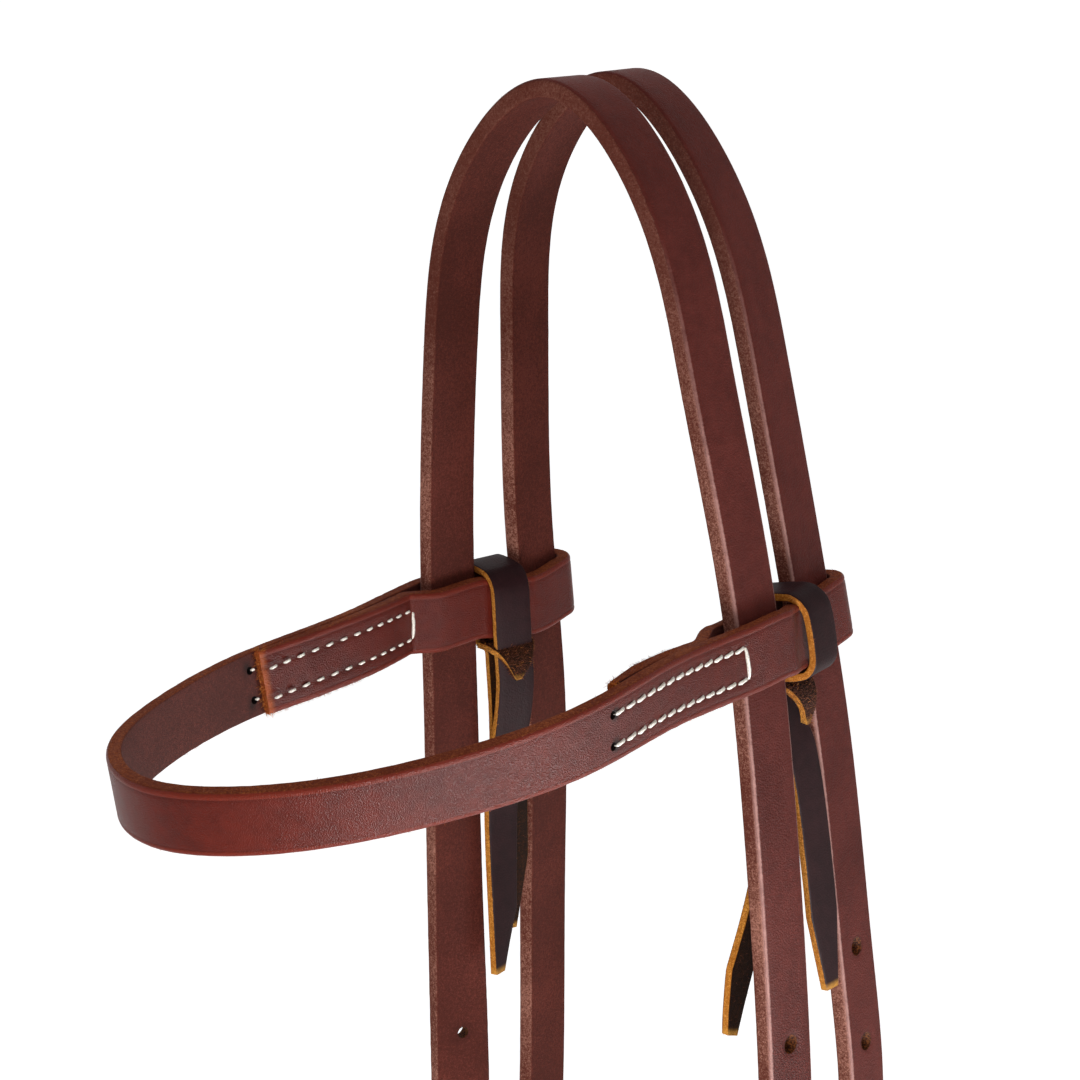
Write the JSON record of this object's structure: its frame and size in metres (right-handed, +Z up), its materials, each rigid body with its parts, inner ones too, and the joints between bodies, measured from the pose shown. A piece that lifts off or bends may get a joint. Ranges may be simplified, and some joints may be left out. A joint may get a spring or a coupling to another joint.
{
  "type": "western headstall",
  "caption": "Western browband headstall: crown strap, throatlatch and looped browband with lace ties, buckled cheek pieces with screwed bit ends.",
  "frame": {"origin": "at the poll, level with the underside of the crown strap and midway between it and the throatlatch", "axes": "+Z up, the horse faces -Y, +X is the horse's left side"},
  "size_m": [0.1346, 0.2053, 0.4895],
  "materials": {
    "strap_leather": "oiled reddish brown harness leather, fine grain, soft sheen",
    "lace_leather": "burgundy black latigo with orange cut edges",
    "stitching": "cream waxed thread",
    "hardware": "plain nickel plated"
  },
  "bodies": {
    "headstall": {"crown_strap": "strap_leather", "left_bit_end_1_post": "hardware", "left_bit_end_1_screw": "hardware", "left_bit_end_2_post": "hardware", "left_bit_end_2_screw": "hardware", "left_cheek_buckle_frame": "hardware", "left_cheek_fixed_keeper": "strap_leather", "left_cheek_strap": "strap_leather", "left_cheek_thread": "stitching", "right_bit_end_1_post": "hardware", "right_bit_end_1_screw": "hardware", "right_bit_end_2_post": "hardware", "right_bit_end_2_screw": "hardware", "right_cheek_buckle_frame": "hardware", "right_cheek_fixed_keeper": "strap_leather", "right_cheek_strap": "strap_leather", "right_cheek_thread": "stitching", "throatlatch_buckle_frame": "hardware", "throatlatch_fixed_keeper": "strap_leather", "throatlatch_strap": "strap_leather", "throatlatch_thread": "stitching"},
    "browband": {"browband_strap": "strap_leather", "left_browband_thread": "stitching", "right_browband_thread": "stitching", "left_lace_tie": "lace_leather", "right_lace_tie": "lace_leather"},
    "left_cheek_tongue": {"left_cheek_buckle_tongue": "hardware"},
    "left_cheek_keeper": {"left_cheek_sliding_keeper": "strap_leather"},
    "right_cheek_tongue": {"right_cheek_buckle_tongue": "hardware"},
    "right_cheek_keeper": {"right_cheek_sliding_keeper": "strap_leather"},
    "throatlatch_tongue": {"throatlatch_buckle_tongue": "hardware"},
    "throatlatch_keeper": {"throatlatch_sliding_keeper": "strap_leather"}
  },
  "joints": [
    {"name": "browband_slide", "type": "slide", "parent": "headstall", "child": "browband", "axis": [0, 0, 1], "range_m": [-0.003, 0.003]},
    {"name": "left_cheek_tongue_swing", "type": "hinge", "parent": "headstall", "child": "left_cheek_tongue", "pos_m": [0.0554, 0.0029, -0.3067], "axis": [0.04, 0.9992, 0], "range_deg": [0, 4]},
    {"name": "left_cheek_keeper_slide", "type": "slide", "parent": "headstall", "child": "left_cheek_keeper", "axis": [0, 0, 1], "range_m": [-0.006, 0.006]},
    {"name": "right_cheek_tongue_swing", "type": "hinge", "parent": "headstall", "child": "right_cheek_tongue", "pos_m": [-0.04884, 0.00164, -0.3066], "axis": [-0.324, -0.946, 0], "range_deg": [0, 4]},
    {"name": "right_cheek_keeper_slide", "type": "slide", "parent": "headstall", "child": "right_cheek_keeper", "axis": [0, 0, 1], "range_m": [-0.006, 0.006]},
    {"name": "throatlatch_tongue_swing", "type": "hinge", "parent": "headstall", "child": "throatlatch_tongue", "pos_m": [0.05071, 0.03974, -0.2932], "axis": [-0.0998, 0.995, 0], "range_deg": [0, 4]},
    {"name": "throatlatch_keeper_slide", "type": "slide", "parent": "headstall", "child": "throatlatch_keeper", "axis": [0, 0, 1], "range_m": [-0.006, 0.006]}
  ]
}
